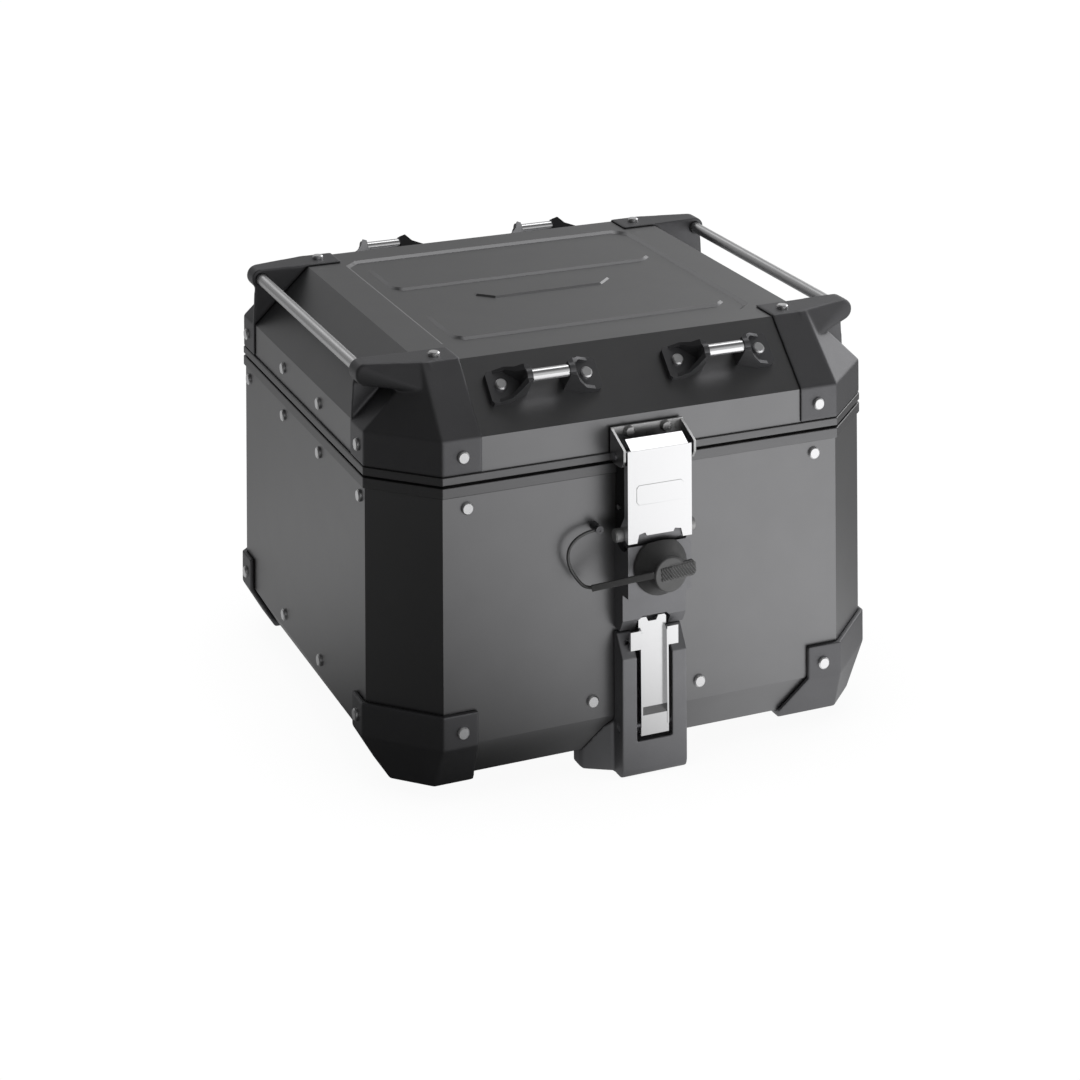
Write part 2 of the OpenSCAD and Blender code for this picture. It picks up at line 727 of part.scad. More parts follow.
module tie_foot_outline() {
    polygon([[49, 11], [47, 13.5], [33, 13.5], [tie_collar_x, 3], [tie_collar_x, -9], [33, -15],
        [47, -15], [49, -12.5]]);
}

// One foot of a tie-down: plate with walls that climb round an open hollow to the bar's collar
module tie_foot() difference() {
    union() {
        translate([0, 0, air]) linear_extrude(tie_plate_t) tie_foot_outline();
        intersection() {
            translate([0, 0, air]) linear_extrude(40) difference() {
                tie_foot_outline();
                polygon([[60, 30], [60, -30], [42, -30], [42, -12], [33, -12],
                    [tie_collar_x + tie_collar_t, -6], [tie_collar_x + tie_collar_t, 0.5],
                    [33, 10.8], [42, 10.8], [42, 30]]);
            }
            along_y(-20, 20) polygon([[tie_collar_x, 0], [43, 0], [43, 5], [33, 9.5],
                [26, 16], [tie_collar_x + tie_collar_t, tie_bar_h + 4.5],
                [tie_collar_x, tie_bar_h + 4.5]]);
        }
        bar_x(tie_collar_x, tie_collar_x + tie_collar_t, tie_bar_drop, tie_bar_h, tie_bar_r + 1.3);
    }
    bar_x(tie_collar_x - 1, tie_collar_x + 3.2, tie_bar_drop, tie_bar_h, tie_bar_r + 0.03);
    translate([tie_bolt_pitch/2, 0, 0]) cylinder(h = 14, r = shank_r + 0.1, center = true);
}

module tie_down_brackets() color("#1e1e20") tie_places() {
    tie_foot();
    mirror([1, 0, 0]) tie_foot();
}

module tie_down_bars() color("#d5d7da") tie_places()
    bar_x(-tie_collar_x - 3, tie_collar_x + 3, tie_bar_drop, tie_bar_h, tie_bar_r);

module tie_down_bolts() color("#c9cbce")
    tie_bolt_places() translate([0, 0, tie_plate_t + 0.1]) stud(tie_plate_t + 7.5, head_r, 3);

module tie_down_nuts() color("#9a9da1") tie_bolt_places() translate([0, 0, -sheet_t - 4.1])
    difference() {
        cylinder(h = 4, r = 4.6, $fn = 6);
        translate([0, 0, -1]) cylinder(h = 6, r = shank_r + 0.02);
    }

/* ---------- latch parts on the lid ---------- */

module latch_bracket_rivet_places() {
    for (x = [-16.5, 16.5]) on_front(x, 268.7, -1, 0) children();
}

bracket_back = -half_d - 4.4;

module latch_bracket() color("#85878b") difference() {
    union() {
        along_x(-bracket_hw, bracket_hw) polygon([[bracket_back, 273.2], [bracket_back + bracket_t, 273.2],
            [bracket_back + bracket_t, 246.2], [bracket_back, 246.2]]);
        for (s = [0, 1]) mirror([s, 0, 0]) along_x(bracket_hw - bracket_t, bracket_hw)
            polygon([[bracket_back + bracket_t, 273.2], [bracket_back + bracket_t, 246.2],
                [-238, 246.2], [-244, 247.2], [lever_front - 0.4, 253], [lever_front - 0.4, 262.1]]);
    }
    latch_bracket_rivet_places() shank_hole(6);
    bar_x(-40, 40, crossbar_y, crossbar_z, crossbar_r);
}

module latch_bracket_pad() color("#151516") difference() {
    along_x(-bracket_hw + 3, bracket_hw - 3) polygon([[wall_y, 272.5],
        [bracket_back + bracket_t + air, 272.5], [bracket_back + bracket_t + air, 252.4], [wall_y, 252.4]]);
    latch_bracket_rivet_places() shank_hole(6);
}

module latch_bracket_rivets() color("#8d8f93")
    latch_bracket_rivet_places() translate([0, 0, 4.4 + 0.02]) stud(8, 4.6, 3.2);

module latch_crossbar() color("#c4c6c9") {
    bar_x(-bracket_hw + bracket_t, bracket_hw - bracket_t, crossbar_y, crossbar_z, crossbar_r + 0.6);
    bar_x(-bracket_hw - 0.8, bracket_hw + 0.8, crossbar_y, crossbar_z, crossbar_r);
}

/* ---------- moving latch, lock and cap ---------- */

module latch_lever() color("#e3e4e6") difference() {
    union() {
        // face plate with end tabs, two notches and a raised middle edge
        along_y(lever_front, lever_front + lever_t) polygon([[-lever_hw, lever_bottom],
            [-20.5, lever_bottom], [-18.8, 192], [-13.4, 193], [-12, 190.4], [12, 190.4],
            [13.4, 193], [18.8, 192], [20.5, lever_bottom], [lever_hw, lever_bottom],
            [lever_hw, lever_top], [-lever_hw, lever_top]]);
        // grip edge bent back at the top
        along_x(-lever_hw + 3, lever_hw - 3) polygon([[lever_front, lever_top],
            [-235.8, 266.8], [-235.2, 265.7], [lever_front + lever_t, lever_top - 0.8]]);
        for (s = [0, 1]) mirror([s, 0, 0]) {
            along_x(lever_hw - lever_t, lever_hw) polygon([[lever_front, lever_bottom],
                [lever_front, lever_top], [-245, lever_top - 2], [-240.6, lever_top - 6],
                [-240.6, 205], [lever_pin_y + 3, lever_pin_z + 4.6], [lever_pin_y + 3, lever_pin_z - 4.6],
                [-240.6, 186.5], [-245, lever_bottom]]);
            bar_x(lever_hw - lever_t, lever_hw, lever_pin_y, lever_pin_z, lever_boss_r);
        }
        // low raised blank panel on the face
        along_y(lever_front - 0.35, lever_front) polygon([[-19, 216], [19, 216], [21, 218.5],
            [21, 229.5], [19, 232], [-19, 232], [-21, 229.5], [-21, 218.5]]);
    }
    pin_bore(lever_pin_r + 0.05);
}

// Pair of drawing hooks behind the lever, joined by a sleeve
module latch_hook() color("#a9abae") difference() {
    for (s = [0, 1]) mirror([s, 0, 0]) {
        along_x(14, 18) polygon([[-246.4, 214], [-246.4, 249], [-243, 257.5], [-236, 257.5],
            [-234.4, 254], [-234.4, 249], [-238, 246], [-240, 240], [-240, 214]]);
        along_x(18, lever_hw - lever_t - 0.02) polygon([[-246.4, 214], [-246.4, 226], [-241.4, 226],
            [-241.4, 214]]);
    }
}

module lock_cylinder() color("#c9cbce") difference() {
    bar_y(block_front - 6.5, -220.6, 0, lock_z, lock_r);
    translate([-4.5, block_front - 7, lock_z - 0.8]) cube([9, 8, 1.6]);
    bar_y(-223.5, -219, 0, lock_z, 3.4);
}

module lock_cam() color("#a9abae") union() {
    bar_y(-223.4, -220.8, 0, lock_z, 3.3);
    along_y(-220.5, -219.4) polygon([[-4, lock_z - 5], [4, lock_z - 5], [3.5, lock_z + 9],
        [-3.5, lock_z + 9]]);
    bar_y(-221, -220.3, 0, lock_z, 3.3);
}

// Space swept by the latch lever between closed and fully open
module lever_sweep() {
    bar_x(-31, 31, lever_pin_y, lever_pin_z, sweep_r - 0.1);
    translate([0, lever_pin_y, lever_pin_z]) rotate([lever_open, 0, 0])
        translate([-31, -12.62, 0]) cube([62, 13, 80]);
}

// Rubber cap over the lock: tapered body, front disc and ribbed finger tab
module lock_cap() color("#1a1a1b") difference() {
    union() {
        cap_strap();
        translate([0, block_front - cap_travel_gap, lock_z]) rotate([90, 0, 0])
            rotate_extrude() polygon([[0, 0], [cap_r, 0], [cap_r, 2], [cap_top_r + 2.4, 13],
                [cap_top_r + 0.6, 17], [cap_top_r + 0.6, 20], [cap_top_r - 0.4, 21], [0, 21]]);
        translate([0, 0, lock_z + tab_rise]) rotate([0, -tab_tilt, 0]) {
            along_y(cap_front - 0.3, cap_front + 3) polygon([[0, -6.3], [20, -6.3], [22.5, -3.8],
                [22.5, 3.8], [20, 6.3], [0, 6.3]]);
            intersection() {
                for (i = [-4 : 10]) translate([2.4*i - 1, cap_front - 1.1, 0]) rotate([0, -32, 0])
                    translate([-0.6, 0, -9]) cube([1.2, 3, 18]);
                along_y(cap_front - 3, cap_front + 3) polygon([[-8.5, -5.2], [20.5, -5.2],
                    [21.8, -3.5], [21.8, 3.5], [20.5, 5.2], [-8.5, 5.2]]);
            }
        }
    }
    bar_y(block_front - 12, block_front + 1, 0, lock_z, collar_r + 0.25);
    lever_sweep();
}

// Flat strap moulded to the cap, running back towards the tether loop
module cap_strap() {
    translate(strap_start) rotate([0, 0, 180 - strap_yaw]) rotate([0, strap_drop, 0])
        translate([0, -1, -2.6]) cube([strap_len, 2, 5.2]);
}

// Looped rubber cord that ties the cap to a button on the base
module cap_tether() color("#151516") difference() {
    union() {
        translate([tether_x, tether_y, tether_z]) rotate([90, 0, 0]) rotate([0, 0, tether_from])
            rotate_extrude(angle = 360 - 2*tether_from) translate([tether_r, 0]) circle(1.5, $fn = 24);
        translate([anchor_x, tether_y, anchor_z]) rotate([90, 0, 0])
            cylinder(h = 3, r = 3.6, center = true);
    }
    translate([anchor_x, tether_y, anchor_z]) rotate([90, 0, 0])
        cylinder(h = 5, r = 1.9, center = true);
}

module tether_anchor() color("#1b1b1d") difference() {
    union() {
        bar_y(-231.2, -230.2, anchor_x, anchor_z, 3.4);
        bar_y(-230.4, wall_y, anchor_x, anchor_z, 1.8);
        bar_y(-226.2, wall_y, anchor_x, anchor_z, 3.4);
    }
    bar_y(-240, -230.8, anchor_x, anchor_z, 1.2);
}

// Raises a sub-part from the corner shoes' plane to the plane the case stands on
module stand() translate([0, 0, stand_h]) children();

stand() base_shell();
stand() base_trim_rail();
stand() floor_mat();
carrier_plate();
carrier_plate_screws();
stand() corner_protector_fl();
stand() corner_protector_fr();
stand() corner_protector_rl();
stand() corner_protector_rr();
stand() base_rivets();
stand() protector_rivets();
stand() hinge_base_leaves();
stand() hinge_pins();
stand() hinge_base_rivets();
stand() latch_frame();
stand() latch_frame_pins();
stand() lock_housing();
stand() latch_pivot_pin();
stand() release_housing();
stand() release_pivot_pin();
stand() housing_screws();
stand() cap_tether();
stand() tether_anchor();
stand() lid_shell();
stand() lid_trim_rail();
stand() lid_seal();
stand() lid_corner_fl();
stand() lid_corner_fr();
stand() lid_corner_rl();
stand() lid_corner_rr();
stand() lid_rivets();
stand() corner_bolts();
stand() rail_tube_left();
stand() rail_tube_right();
stand() tie_down_brackets();
stand() tie_down_bars();
stand() tie_down_bolts();
stand() tie_down_nuts();
stand() hinge_lid_leaves();
stand() hinge_lid_rivets();
stand() latch_bracket();
stand() latch_bracket_pad();
stand() latch_bracket_rivets();
stand() latch_crossbar();
stand() latch_lever();
stand() latch_hook();
stand() lock_cylinder();
stand() lock_cam();
stand() lock_cap();
stand() release_lever();
stand() release_spring();
stand() carrier_bolt();
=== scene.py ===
"""Folded aluminium motorcycle top case: materials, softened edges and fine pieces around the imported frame.

Metres throughout. +Z is up, -Y is the latch side and z = 0 is the plane that the case stands on.
"""

import json
import math

import bpy
from mathutils import Matrix, Vector


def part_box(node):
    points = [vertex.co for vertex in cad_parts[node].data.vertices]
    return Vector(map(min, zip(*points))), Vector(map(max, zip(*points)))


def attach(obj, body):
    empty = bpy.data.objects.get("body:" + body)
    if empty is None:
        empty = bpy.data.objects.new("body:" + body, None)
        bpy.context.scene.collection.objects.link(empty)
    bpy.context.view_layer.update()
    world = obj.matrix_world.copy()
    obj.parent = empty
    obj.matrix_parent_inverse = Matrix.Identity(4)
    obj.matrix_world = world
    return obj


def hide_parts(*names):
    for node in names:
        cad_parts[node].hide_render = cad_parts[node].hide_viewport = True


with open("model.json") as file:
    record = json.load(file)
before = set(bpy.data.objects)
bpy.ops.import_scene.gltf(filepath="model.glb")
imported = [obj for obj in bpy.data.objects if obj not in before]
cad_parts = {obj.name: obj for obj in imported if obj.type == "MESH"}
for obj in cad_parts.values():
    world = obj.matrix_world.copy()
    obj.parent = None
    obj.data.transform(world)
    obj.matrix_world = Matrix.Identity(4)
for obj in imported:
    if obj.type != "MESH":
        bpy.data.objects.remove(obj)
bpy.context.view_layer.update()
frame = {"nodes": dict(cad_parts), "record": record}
NODES = frame["nodes"]
MM = 0.001


# ---------------------------------------------------------------- node helpers
class Shader:
    """A node material with short names for the few nodes that every finish here is made of."""

    def __init__(self, name):
        self.material = bpy.data.materials.new(name)
        self.material.use_nodes = True
        self.tree = self.material.node_tree
        self.surface = self.tree.nodes["Principled BSDF"]
        self.place = self.node("ShaderNodeTexCoord").outputs["Object"]

    def node(self, kind, **values):
        made = self.tree.nodes.new(kind)
        for key, value in values.items():
            setattr(made, key, value)
        return made

    def link(self, source, target):
        self.tree.links.new(source, target)

    def feed(self, socket, value):
        """Links value to a socket if it is another node's output, and sets it if it is a number."""
        if isinstance(value, bpy.types.NodeSocket):
            self.link(value, socket)
        else:
            socket.default_value = value

    def set(self, **values):
        """Sets or links inputs of the surface: base_color becomes Base Color."""
        for key, value in values.items():
            self.feed(self.surface.inputs[key.replace("_", " ").title().replace("Ior", "IOR")], value)

    def stretched(self, scale):
        """The place of a point, with each axis scaled, so that a pattern can run along one axis."""
        mapping = self.node("ShaderNodeMapping")
        mapping.inputs["Scale"].default_value = scale
        self.link(self.place, mapping.inputs["Vector"])
        return mapping.outputs["Vector"]

    def noise(self, size, detail=2.0, vector=None):
        """Noise from 0 to 1 whose features are about size metres across."""
        noise = self.node("ShaderNodeTexNoise")
        noise.inputs["Scale"].default_value = 1.0 / size
        noise.inputs["Detail"].default_value = detail
        self.link(vector or self.place, noise.inputs["Vector"])
        return noise.outputs["Fac"]

    def spread(self, value, low, high, start=0.3, stop=0.7):
        """Maps value's range start..stop onto low..high."""
        mapped = self.node("ShaderNodeMapRange")
        self.link(value, mapped.inputs["Value"])
        for key, number in (("From Min", start), ("From Max", stop), ("To Min", low), ("To Max", high)):
            mapped.inputs[key].default_value = number
        return mapped.outputs["Result"]

    def math(self, operation, *values):
        made = self.node("ShaderNodeMath", operation=operation)
        for socket, value in zip(made.inputs, values):
            self.feed(socket, value)
        return made.outputs["Value"]

    def by_camera(self, seen, thrown):
        """One value for what the camera sees and another for what the scene receives."""
        mix = self.node("ShaderNodeMix", data_type="FLOAT")
        self.link(self.node("ShaderNodeLightPath").outputs["Is Camera Ray"], mix.inputs["Factor"])
        self.feed(mix.inputs["A"], thrown)
        self.feed(mix.inputs["B"], seen)
        return mix.outputs["Result"]

    def blend(self, value, dark, light):
        """A colour between dark and light, by value."""
        mix = self.node("ShaderNodeMix", data_type="RGBA")
        self.link(value, mix.inputs["Factor"])
        mix.inputs["A"].default_value = (*dark, 1.0)
        mix.inputs["B"].default_value = (*light, 1.0)
        return mix.outputs["Result"]

    def edges(self, radius):
        """1 on sharp edges within radius metres and 0 on flat faces; it marks where edge highlights are
        painted.
        """
        bevel = self.node("ShaderNodeBevel", samples=4)
        bevel.inputs["Radius"].default_value = radius
        geometry = self.node("ShaderNodeNewGeometry")
        dot = self.node("ShaderNodeVectorMath", operation="DOT_PRODUCT")
        self.link(bevel.outputs["Normal"], dot.inputs[0])
        self.link(geometry.outputs["Normal"], dot.inputs[1])
        return self.spread(dot.outputs["Value"], 1.0, 0.0, start=0.80, stop=0.97)

    def bump(self, *layers):
        """Stacks bump layers, each (height, depth in metres), and drives the surface's normal."""
        normal = None
        for height, depth in layers:
            bump = self.node("ShaderNodeBump")
            bump.inputs["Distance"].default_value = depth
            self.link(height, bump.inputs["Height"])
            if normal:
                self.link(normal, bump.inputs["Normal"])
            normal = bump.outputs["Normal"]
        self.link(normal, self.surface.inputs["Normal"])


def grey(value, tint=1.0):
    """A neutral colour; tint above 1 makes it cooler."""
    return (value, value, value * tint)


# ---------------------------------------------------------------- finishes
def powder_coat():
    """Satin black coating over folded sheet, with a faint orange peel."""
    s = Shader("powder_coat")
    mottle = s.noise(30 * MM)
    peel = s.noise(1.4 * MM)
    fleck = s.noise(0.28 * MM)
    s.set(base_color=s.blend(mottle, grey(0.225, 1.02), grey(0.245, 1.02)),
          metallic=1.0, roughness=s.spread(fleck, 0.32, 0.40))
    s.bump((peel, 0.006 * MM), (fleck, 0.004 * MM))
    return s.material


def moulded_plastic(name, shade):
    """Fine-grained black plastic; shade is how much of the studio it throws back."""
    s = Shader(name)
    grain = s.noise(0.6 * MM, detail=3.0)
    cloud = s.noise(22 * MM)
    s.set(base_color=s.blend(cloud, grey(0.93 * shade, 1.04), grey(1.07 * shade, 1.04)), metallic=0.9,
          roughness=s.spread(grain, 0.42, 0.54))
    s.bump((grain, 0.028 * MM))
    return s.material


def trim_plastic():
    s = Shader("trim_plastic")
    drawn = s.noise(0.5 * MM, vector=s.stretched((0.15, 0.15, 1.0)))
    s.set(base_color=s.blend(drawn, grey(0.175, 1.02), grey(0.215, 1.02)), metallic=0.95,
          roughness=s.spread(drawn, 0.36, 0.46))
    s.bump((drawn, 0.010 * MM))
    return s.material


def soft_rubber():
    s = Shader("soft_rubber")
    skin = s.noise(0.4 * MM, detail=3.0)
    bloom = s.noise(9 * MM)
    s.set(base_color=s.blend(bloom, grey(0.18), grey(0.21)), metallic=0.85,
          roughness=s.spread(skin, 0.46, 0.60))
    s.bump((skin, 0.02 * MM))
    return s.material


def satin_aluminium():
    s = Shader("satin_aluminium")
    turned = s.noise(0.35 * MM)
    cloud = s.noise(12 * MM)
    s.set(base_color=s.blend(cloud, grey(0.84, 1.01), grey(0.92, 1.01)), metallic=1.0,
          roughness=s.spread(turned, 0.32, 0.46))
    s.bump((turned, 0.006 * MM))
    return s.material


def dull_aluminium():
    """Cast boss of the latch pivot: duller than the rivets."""
    s = Shader("dull_aluminium")
    cast = s.noise(0.8 * MM, detail=3.0)
    s.set(base_color=s.blend(cast, grey(0.50), grey(0.58)), metallic=0.7,
          roughness=s.spread(cast, 0.50, 0.64))
    s.bump((cast, 0.012 * MM))
    return s.material


def drawn_tube():
    """Anodised tube with fine lines along Y, the way it was drawn."""
    s = Shader("drawn_tube")
    lines = s.noise(0.45 * MM, detail=3.0, vector=s.stretched((1.0, 0.02, 1.0)))
    s.set(base_color=s.blend(lines, grey(0.66, 1.01), grey(0.76, 1.01)), metallic=1.0,
          roughness=s.spread(lines, 0.24, 0.40))
    s.bump((lines, 0.008 * MM))
    return s.material


def polished_steel():
    """Bright stainless with a faint vertical brushing."""
    s = Shader("polished_steel")
    lines = s.noise(0.30 * MM, detail=3.0, vector=s.stretched((1.0, 1.0, 0.03)))
    s.set(base_color=s.blend(lines, grey(0.84, 1.01), grey(0.90, 1.01)), metallic=1.0,
          roughness=s.spread(lines, 0.16, 0.27))
    s.bump((lines, 0.004 * MM))
    return s.material


def bracket_steel():
    """Dark steel with a painted highlight: its cut edges are coloured light grey."""
    s = Shader("bracket_steel")
    lines = s.noise(0.4 * MM, vector=s.stretched((1.0, 1.0, 0.05)))
    # painted highlight: the base colour turns light along the edges
    s.set(base_color=s.blend(s.edges(0.5 * MM), grey(0.48), grey(0.92)), metallic=1.0,
          roughness=s.spread(lines, 0.26, 0.40))
    s.bump((lines, 0.006 * MM))
    return s.material


def black_steel():
    s = Shader("black_steel")
    peel = s.noise(0.8 * MM)
    # painted highlight: the base colour lightens along the edges
    s.set(base_color=s.blend(s.edges(0.35 * MM), grey(0.045), grey(0.16)), metallic=0.5,
          specular_ior_level=0.2, roughness=s.spread(peel, 0.50, 0.64))
    s.bump((peel, 0.015 * MM))
    return s.material


def zinc_plate():
    s = Shader("zinc_plate")
    cloud = s.noise(3 * MM, detail=3.0)
    s.set(base_color=s.blend(cloud, grey(0.46, 1.05), grey(0.62, 1.04)), metallic=1.0,
          roughness=s.spread(cloud, 0.28, 0.44))
    s.bump((cloud, 0.01 * MM))
    return s.material


FINISHES = {
    "painted_shell": powder_coat(),
    "moulding": moulded_plastic("moulded_plastic", 0.165),
    "trim": trim_plastic(),
    "rubber": soft_rubber(),
    "rivet": satin_aluminium(),
    "polished": polished_steel(),
    "bracket_steel": bracket_steel(),
    "black_steel": black_steel(),
    "zinc": zinc_plate(),
}
# finishes of single nodes, which differ from the rest of their slot
SPECIAL = {
    "rail_tube_left": drawn_tube(), "rail_tube_right": drawn_tube(),
    # painted light: the housings get a lighter copy of the moulded plastic, standing in for the light on
    # their front faces
    "lock_housing": moulded_plastic("lit_block_plastic", 0.28),
    "latch_pivot_pin": dull_aluminium(),
}
SPECIAL["release_housing"] = SPECIAL["lock_housing"]


def finish_nodes():
    """Every CAD node gets the finish of its slot in the record."""
    for part in frame["record"]["subparts"]:
        node = NODES[part["node"]]
        material = SPECIAL.get(part["node"]) or FINISHES[part["material_slot"]]
        node.data.materials.clear()
        node.data.materials.append(material)


# ---------------------------------------------------------------- softened edges
def soften(node, radius, segments=2, angle=25):
    """Rounds the sharp edges of a CAD node with modifiers; its own mesh stays as imported."""
    weld = node.modifiers.new("weld", "WELD")
    weld.merge_threshold = 0.002 * MM
    flat = node.modifiers.new("flat", "DECIMATE")
    flat.decimate_type = "DISSOLVE"
    flat.angle_limit = math.radians(0.6)
    bevel = node.modifiers.new("bevel", "BEVEL")
    bevel.width = radius
    bevel.segments = segments
    bevel.limit_method = "ANGLE"
    bevel.angle_limit = math.radians(angle)
    bevel.miter_outer = "MITER_ARC"
    shading = node.modifiers.new("shading", "WEIGHTED_NORMAL")
    shading.weight = 90


def round_off(node, voxel, passes):
    """Melts the sharp edges of a moulded CAD node: a fine remesh, then smoothing passes."""
    remesh = node.modifiers.new("remesh", "REMESH")
    remesh.mode = "VOXEL"
    remesh.voxel_size = voxel
    remesh.use_smooth_shade = True
    smooth = node.modifiers.new("smooth", "SMOOTH")
    smooth.factor = 0.5
    smooth.iterations = passes


# voxel size in metres, smoothing passes
MOULDED = {name: (0.9 * MM, 14) for name in NODES if name.startswith("lid_corner_")}
MOULDED.update({name: (0.9 * MM, 14) for name in NODES if name.startswith("corner_protector_")})
MOULDED["release_housing"] = (0.7 * MM, 8)
MOULDED["lock_cap"] = (0.35 * MM, 3)

# radius in metres, segments
SOFT = {
    "base_shell": (1.6 * MM, 3), "lid_shell": (1.2 * MM, 3),
    "base_trim_rail": (1.0 * MM, 3), "lid_trim_rail": (0.9 * MM, 3),
    "lock_housing": (0.6 * MM, 2),
    "tie_down_brackets": (0.5 * MM, 2), "latch_frame": (0.3 * MM, 2),
    "latch_bracket": (0.25 * MM, 2), "latch_lever": (0.5 * MM, 3),
    "release_lever": (0.35 * MM, 2),
    "hinge_base_leaves": (0.4 * MM, 2), "hinge_lid_leaves": (0.4 * MM, 2),
    "carrier_plate": (0.8 * MM, 2), "floor_mat": (0.8 * MM, 2), "lid_seal": (1.0 * MM, 3),
    "carrier_bolt": (0.3 * MM, 2), "latch_hook": (0.3 * MM, 2),
}


# ---------------------------------------------------------------- fine pieces
def sweep(name, points, radius, sides=10, steps=6):
    """Round cord along a smooth path through points, closed at both ends."""
    path = []
    for i in range(len(points) - 1):
        p = [Vector(points[min(max(i + k, 0), len(points) - 1)]) for k in (-1, 0, 1, 2)]
        for step in range(steps):
            t = step / steps
            path.append(0.5 * (2 * p[1] + (p[2] - p[0]) * t
                               + (2 * p[0] - 5 * p[1] + 4 * p[2] - p[3]) * t * t
                               + (3 * p[1] - p[0] - 3 * p[2] + p[3]) * t ** 3))
    path.append(Vector(points[-1]))
    verts, faces = [], []
    side = None
    for i, here in enumerate(path):
        along = (path[min(i + 1, len(path) - 1)] - path[max(i - 1, 0)]).normalized()
        side = (side - along * side.dot(along)).normalized() if side else along.orthogonal().normalized()
        other = along.cross(side)
        for k in range(sides):
            a = 2 * math.pi * k / sides
            verts.append(here + radius * (math.cos(a) * side + math.sin(a) * other))
        if i:
            a, b = (i - 1) * sides, i * sides
            faces += [(a + k, a + (k + 1) % sides, b + (k + 1) % sides, b + k) for k in range(sides)]
    faces += [tuple(reversed(range(sides))), tuple(range(len(verts) - sides, len(verts)))]
    mesh = bpy.data.meshes.new(name)
    mesh.from_pydata(verts, [], faces)
    for face in mesh.polygons:
        face.use_smooth = len(face.vertices) == 4
    cord = bpy.data.objects.new(name, mesh)
    bpy.context.scene.collection.objects.link(cord)
    return cord


def build_tether():
    """Thin rubber cord that leaves the cap's strap, loops at the left of the lock and ends on its lug."""
    low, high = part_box("cap_tether")
    left, base = low[0], low[2]
    lug_low, lug_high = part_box("tether_anchor")
    lug = [(a + b) / 2 for a, b in zip(lug_low, lug_high)]
    y = (low[1] + high[1]) / 2
    width, height = lug[0] - left, lug[2] - base
    inset = 1.2 * MM
    # shares of the width and the height, and the offset along y in mm
    shape = ((0.72, 0.02, -7.0), (0.45, 0.05, -3.0), (0.22, 0.22, 0), (0.05, 0.42, 0), (0.0, 0.60, 0),
             (0.07, 0.76, 0), (0.28, 0.89, 0), (0.60, 0.97, 0), (1.0, 1.0, 0.5))
    points = [(left + inset + u * width, y + dy * MM, base + inset + v * (height - inset))
              for u, v, dy in shape]
    cord = sweep("tether_cord", points, 1.35 * MM)
    cord.data.materials.append(FINISHES["rubber"])
    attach(cord, "case")
    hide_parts("cap_tether")


# ---------------------------------------------------------------- stage, light, camera
def lobe(shader, direction, aim, strength, power):
    """Soft patch of light around the direction aim: strength times the cosine raised to power."""
    dot = shader.node("ShaderNodeVectorMath", operation="DOT_PRODUCT")
    shader.link(direction, dot.inputs[0])
    dot.inputs[1].default_value = Vector(aim).normalized()
    front = shader.math("MAXIMUM", dot.outputs["Value"], 0.0)
    return shader.math("MULTIPLY", shader.math("POWER", front, power), strength)


def glow(shader, direction, base, lobes):
    """Sum of a base level and several lobes."""
    total = base
    for aim, strength, power in lobes:
        total = shader.math("ADD", lobe(shader, direction, aim, strength, power), total)
    return total


# glow of the floor and the studio walls between the patches
FAINT = 0.045
# aim, strength and power of the soft patches that the floor and the studio walls throw on the object
FLOOR_LOBES = (((0.57, -0.82, 0), 1.20, 3.5), ((-0.80, 0.60, 0), 0.46, 4.0), ((0.7, 0.7, 0), 0.25, 3.0))
STUDIO_LOBES = (((0.85, 0.42, 0.22), 2.3, 8.0), ((-0.40, 0.85, 0.35), 0.26, 8.0),
                ((0.20, -0.20, 0.95), 0.06, 8.0), ((0.15, -0.94, 0.28), 0.70, 8.0),
                ((0.36, 0.30, 0.88), 2.4, 60.0), ((0.02, 0.86, 0.50), 0.9, 50.0))


def build_floor():
    """Pale studio floor that glows more in front and behind than at the sides, with a painted shadow: its
    glow dims close to the case.
    """
    half = 12.0
    corners = [(-half, -half, 0), (half, -half, 0), (half, half, 0), (-half, half, 0)]
    mesh = bpy.data.meshes.new("studio_floor")
    mesh.from_pydata(corners, [], [(0, 1, 2, 3)])
    floor = bpy.data.objects.new("studio_floor", mesh)
    floor.location.z = -0.05 * MM
    bpy.context.scene.collection.objects.link(floor)
    s = Shader("studio_floor")
    flat = s.node("ShaderNodeVectorMath", operation="NORMALIZE")
    s.link(s.stretched((1.0, 1.0, 0.0)), flat.inputs[0])
    reach = s.node("ShaderNodeVectorMath", operation="LENGTH")
    s.link(s.place, reach.inputs[0])
    # painted shadow: the glow the floor throws onto the object dims near the case
    painted_floor_shadow = s.spread(reach.outputs["Value"], 0.62, 1.0, start=0.24, stop=0.50)
    thrown = s.node("ShaderNodeEmission")
    strength = s.math("MULTIPLY", glow(s, flat.outputs["Vector"], FAINT, FLOOR_LOBES), painted_floor_shadow)
    s.link(strength, thrown.inputs["Strength"])
    contact = s.node("ShaderNodeAmbientOcclusion", samples=4)
    contact.inputs["Distance"].default_value = 0.15
    seen = s.node("ShaderNodeEmission")
    s.link(s.blend(s.noise(0.4), grey(0.995), grey(1.0)), seen.inputs["Color"])
    s.link(s.spread(contact.outputs["AO"], 0.95, 1.02, start=0.35, stop=0.95), seen.inputs["Strength"])
    mix = s.node("ShaderNodeMixShader")
    s.link(s.node("ShaderNodeLightPath").outputs["Is Camera Ray"], mix.inputs["Fac"])
    s.link(thrown.outputs["Emission"], mix.inputs[1])
    s.link(seen.outputs["Emission"], mix.inputs[2])
    s.link(mix.outputs["Shader"], s.tree.nodes["Material Output"].inputs["Surface"])
    s.tree.nodes.remove(s.surface)
    s.material.cycles.emission_sampling = "NONE"
    mesh.materials.append(s.material)


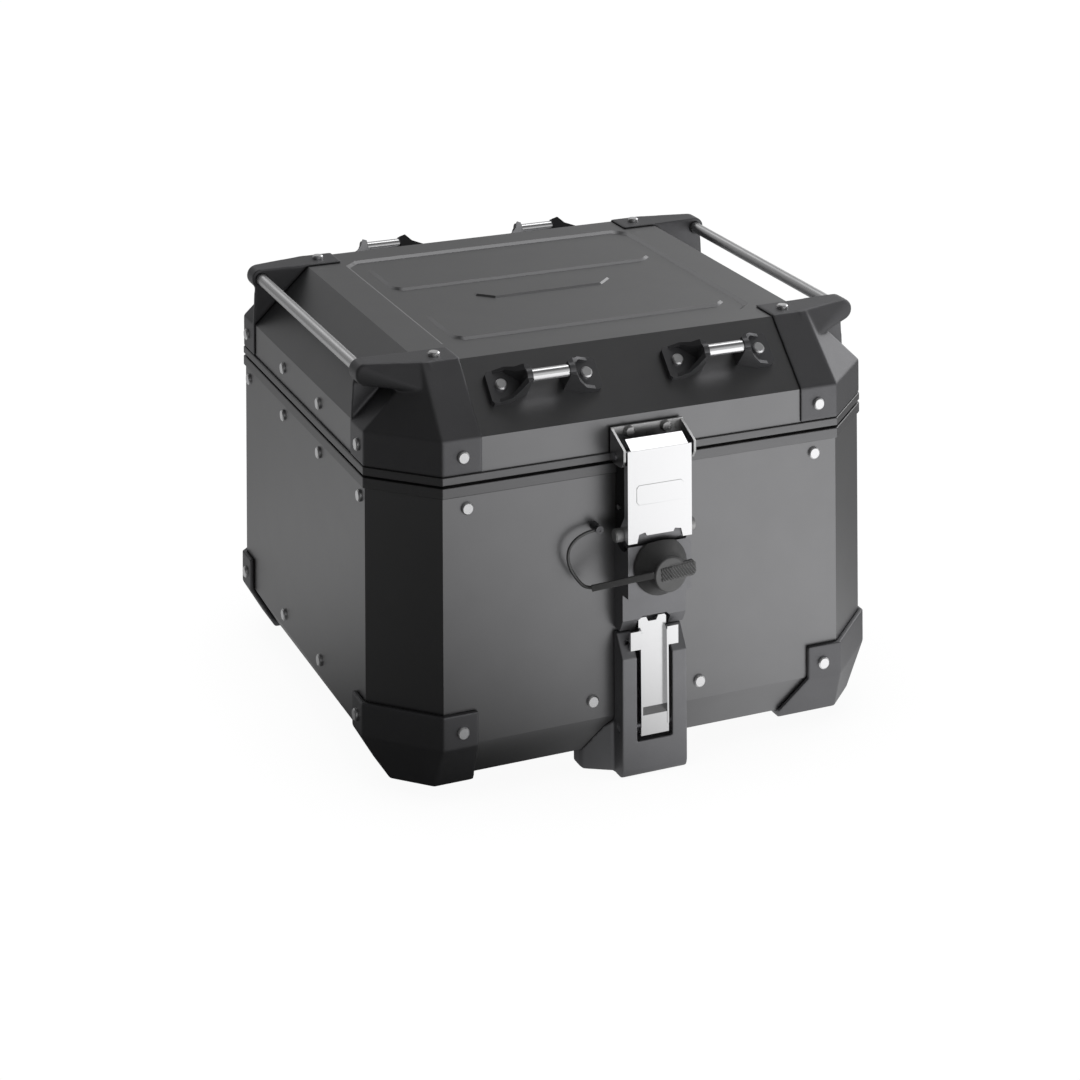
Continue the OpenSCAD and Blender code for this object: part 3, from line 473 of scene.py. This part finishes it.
def build_light():
    """Soft studio: white to the camera, with bright and dark patches in what the surfaces mirror."""
    world = bpy.data.worlds.new("studio")
    world.use_nodes = True
    s = Shader.__new__(Shader)
    s.tree = world.node_tree
    s.place = s.node("ShaderNodeTexCoord").outputs["Generated"]
    background = s.tree.nodes["Background"]
    background.inputs["Color"].default_value = (1.0, 1.0, 1.0, 1.0)
    s.link(s.by_camera(1.05, glow(s, s.place, FAINT, STUDIO_LOBES)), background.inputs["Strength"])
    bpy.context.scene.world = world


AZIMUTH = math.radians(-22.70)
ROLL = math.radians(-0.30)
FOCAL = 2610.0  # lens to image plane, in widths of 1/1080 of the frame
FRAME_WIDTH = 1080.0
DROP = 1012.4 / FOCAL  # how far the lens axis falls per metre away from the camera
EYE_RIGHT, EYE_UP, EYE_BACK, EYE_LIFT = -0.0033, 0.9831, 2.3571, 0.039
SENSOR = 36.0


def build_camera():
    """A view camera: the back stays upright while the lens axis points down, so verticals stay parallel."""
    right = Vector((math.cos(AZIMUTH), math.sin(AZIMUTH), 0))
    up = Vector((0, 0, 1))
    back = Vector((math.sin(AZIMUTH), -math.cos(AZIMUTH), 0))
    rolled_right = math.cos(ROLL) * right + math.sin(ROLL) * up
    rolled_up = -math.sin(ROLL) * right + math.cos(ROLL) * up
    eye = EYE_RIGHT * rolled_right + EYE_UP * rolled_up + EYE_BACK * back + EYE_LIFT * up
    axis = back + DROP * rolled_up
    stretch = axis.length
    lean = Matrix((
        (rolled_right.x, rolled_up.x, axis.x / stretch, eye.x),
        (rolled_right.y, rolled_up.y, axis.y / stretch, eye.y),
        (rolled_right.z, rolled_up.z, axis.z / stretch, eye.z),
        (0, 0, 0, 1)))
    data = bpy.data.cameras.new("camera")
    data.sensor_width = SENSOR
    data.lens = SENSOR * FOCAL * stretch / FRAME_WIDTH
    data.clip_end = 100.0
    camera = bpy.data.objects.new("camera", data)
    rig = bpy.data.objects.new("camera_rig", None)
    for item in (rig, camera):
        bpy.context.scene.collection.objects.link(item)
    camera.parent = rig
    camera.matrix_parent_inverse = lean
    bpy.context.scene.camera = camera


finish_nodes()
for name, (radius, segments) in SOFT.items():
    soften(NODES[name], radius, segments)
for name, (voxel, passes) in MOULDED.items():
    round_off(NODES[name], voxel, passes)
build_tether()
build_floor()
build_light()
build_camera()
bpy.context.scene.view_settings.view_transform = "Standard"
